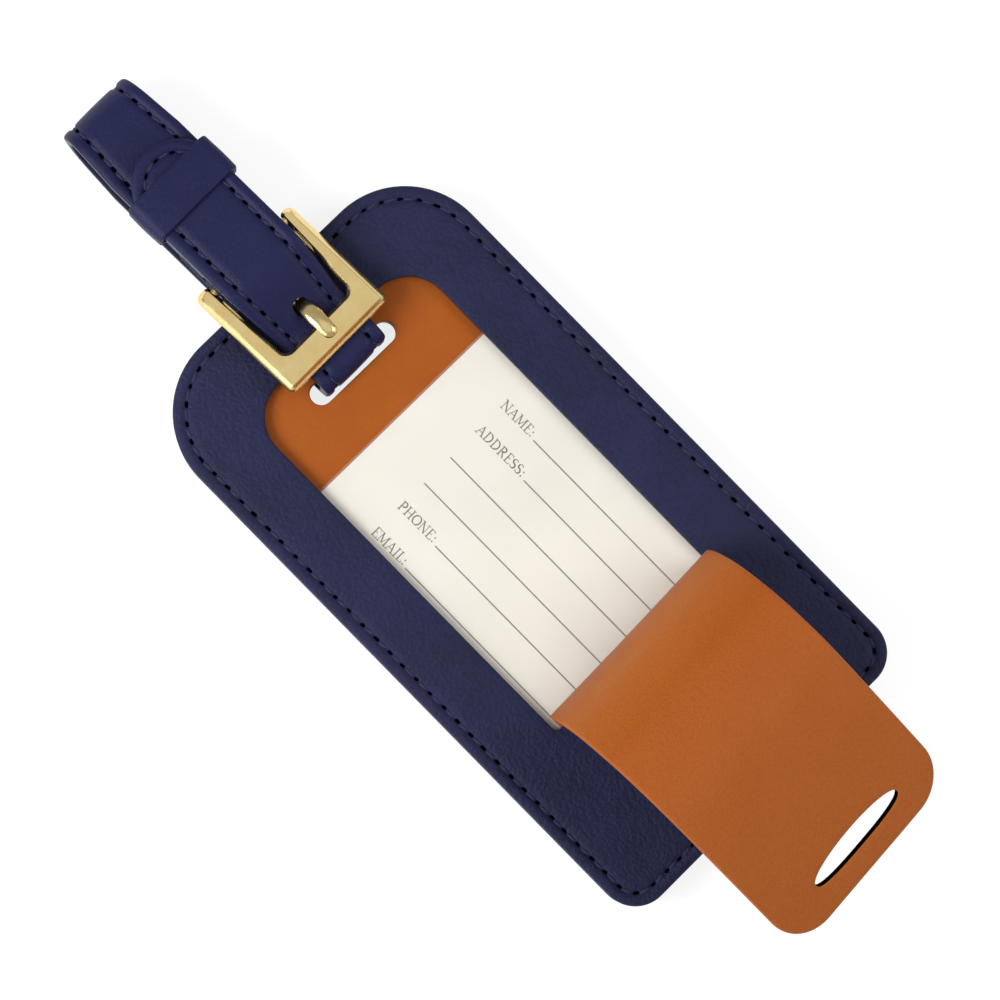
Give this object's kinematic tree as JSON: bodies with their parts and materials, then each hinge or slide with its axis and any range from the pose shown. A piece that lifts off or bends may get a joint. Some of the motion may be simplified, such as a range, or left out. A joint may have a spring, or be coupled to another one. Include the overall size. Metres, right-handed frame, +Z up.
{
  "type": "luggage tag",
  "caption": "Two-tone leather luggage tag with a windowed address card under clear film, a curled privacy flap and a buckled loop strap.",
  "frame": {"origin": "centre of the tag's back face", "axes": "+Z up out of the tag's front, +Y along the tag towards the strap, +X across the tag"},
  "size_m": [0.068, 0.1907, 0.0324],
  "materials": {
    "navy_leather": "fine pebble grain, satin",
    "lining_leather": "smooth, matt",
    "tan_leather": "smooth, satin",
    "flap_leather": "smooth, satin, dark painted edges",
    "board": "matt",
    "card_paper": "matt card",
    "clear_film": "clear, glossy",
    "navy_thread": "waxed thread",
    "polished_brass": "polished",
    "staple_steel": "plain wire"
  },
  "bodies": {
    "tag_body": {"back_panel": "navy_leather", "stiffener_board": "board", "insert_panel": "tan_leather", "pocket_filler": "board", "clear_window": "clear_film", "front_frame": "navy_leather", "back_thread": "navy_thread", "front_thread": "navy_thread", "flap_root": "flap_leather"},
    "card": {"address_card": "card_paper"},
    "flap_curl_1": {"flap_curl_1": "flap_leather"},
    "flap_curl_2": {"flap_curl_2": "flap_leather"},
    "flap_curl_3": {"flap_curl_3": "flap_leather"},
    "flap_curl_4": {"flap_curl_4": "flap_leather"},
    "flap_end": {"flap_end": "flap_leather"},
    "strap": {"strap_face": "navy_leather", "strap_lining": "lining_leather", "strap_thread_left": "navy_thread", "strap_thread_right": "navy_thread", "fold_thread": "navy_thread"},
    "keeper": {"keeper_loop": "navy_leather", "keeper_staple": "staple_steel"},
    "buckle": {"buckle_frame": "polished_brass", "heel_bar": "polished_brass"},
    "prong": {"prong": "polished_brass"}
  },
  "joints": [
    {"name": "strap_turn", "type": "hinge", "parent": "tag_body", "child": "strap", "pos_m": [0, 0.04265, 0.0022], "axis": [0, 0, 1], "range_deg": [-6, 3.5]},
    {"name": "buckle_tilt", "type": "hinge", "parent": "strap", "child": "buckle", "pos_m": [-0.00059, 0.06849, 0.00825], "axis": [-0.9997, -0.0227, 0], "range_deg": [0, 3]},
    {"name": "prong_lift", "type": "hinge", "parent": "buckle", "child": "prong", "pos_m": [-0.00059, 0.06849, 0.00825], "axis": [-0.9997, -0.0227, 0], "range_deg": [0, 3]},
    {"name": "keeper_slide", "type": "slide", "parent": "strap", "child": "keeper", "axis": [-0.0227, 0.9997, 0], "range_m": [-0.0015, 0.008]},
    {"name": "card_slide", "type": "slide", "parent": "tag_body", "child": "card", "axis": [0, 1, 0], "range_m": [0, 0.009]},
    {"name": "flap_close", "type": "hinge", "parent": "tag_body", "child": "flap_curl_1", "pos_m": [0, -0.0272, 0.004], "axis": [-1, 0, 0], "range_deg": [-4, 82]},
    {"name": "flap_unroll_2", "type": "hinge", "parent": "flap_curl_1", "child": "flap_curl_2", "pos_m": [0, -0.02687, 0.01339], "axis": [-1, 0, 0], "range_deg": [-1.23, 25.16]},
    {"name": "flap_unroll_3", "type": "hinge", "parent": "flap_curl_2", "child": "flap_curl_3", "pos_m": [0, -0.03135, 0.023], "axis": [-1, 0, 0], "range_deg": [-1.46, 29.82]},
    {"name": "flap_unroll_4", "type": "hinge", "parent": "flap_curl_3", "child": "flap_curl_4", "pos_m": [0, -0.04075, 0.0291], "axis": [-1, 0, 0], "range_deg": [-1.59, 32.61]},
    {"name": "flap_unroll_5", "type": "hinge", "parent": "flap_curl_4", "child": "flap_end", "pos_m": [0, -0.05214, 0.0287], "axis": [-1, 0, 0], "range_deg": [-0.98, 20.03]}
  ],
  "couplings": [
    {"joint": "flap_unroll_2", "follows": "flap_close", "ratio": 0.30682},
    {"joint": "flap_unroll_3", "follows": "flap_close", "ratio": 0.36364},
    {"joint": "flap_unroll_4", "follows": "flap_close", "ratio": 0.39773},
    {"joint": "flap_unroll_5", "follows": "flap_close", "ratio": 0.24432}
  ]
}
